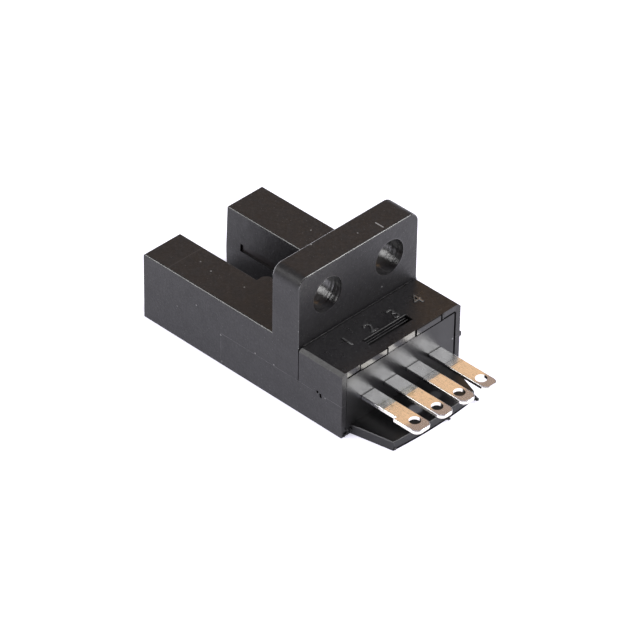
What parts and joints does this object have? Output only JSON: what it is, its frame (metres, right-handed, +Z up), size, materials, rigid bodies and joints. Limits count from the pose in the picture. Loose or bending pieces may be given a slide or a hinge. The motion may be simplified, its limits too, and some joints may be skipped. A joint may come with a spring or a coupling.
{
  "type": "slot-type photo sensor",
  "caption": "Slot-type photo sensor: two arms facing across a gap, an upright tab with two screw holes, and flat solder terminals at the rear.",
  "frame": {"origin": "centre of the object's base rectangle, on the flat underside", "axes": "+X along the body from the fork tips to the terminals, +Y across the fork towards the receiver arm, +Z up through the mounting tab"},
  "size_m": [0.0288, 0.0137, 0.0128],
  "materials": {
    "case_plastic": "satin black glass-filled plastic",
    "holder_plastic": "glossy black plastic",
    "terminal_metal": "tin-plated and partly tarnished",
    "window_plastic": "dark infrared-passing plastic",
    "board_laminate": "green solder mask",
    "solder": "bright solder",
    "emitter_resin": "clear bluish resin",
    "receiver_resin": "dark daylight-blocking resin",
    "lead_metal": "tin-plated",
    "chip_ceramic": "black glaze",
    "capacitor_ceramic": "tan ceramic",
    "moulding_compound": "black epoxy"
  },
  "bodies": {
    "root": {"front_case": "case_plastic", "rear_case": "case_plastic", "terminal_holder": "holder_plastic", "terminal_1": "terminal_metal", "terminal_2": "terminal_metal", "terminal_3": "terminal_metal", "terminal_4": "terminal_metal", "emitter_window": "window_plastic", "receiver_window": "window_plastic", "circuit_board": "board_laminate", "solder_joints": "solder", "emitter": "emitter_resin", "emitter_leads": "lead_metal", "receiver": "receiver_resin", "receiver_leads": "lead_metal", "chip_resistors": "chip_ceramic", "chip_capacitor": "capacitor_ceramic", "protection_diode": "moulding_compound", "chip_end_caps": "lead_metal", "output_transistor": "moulding_compound", "transistor_leads": "lead_metal"}
  },
  "joints": []
}
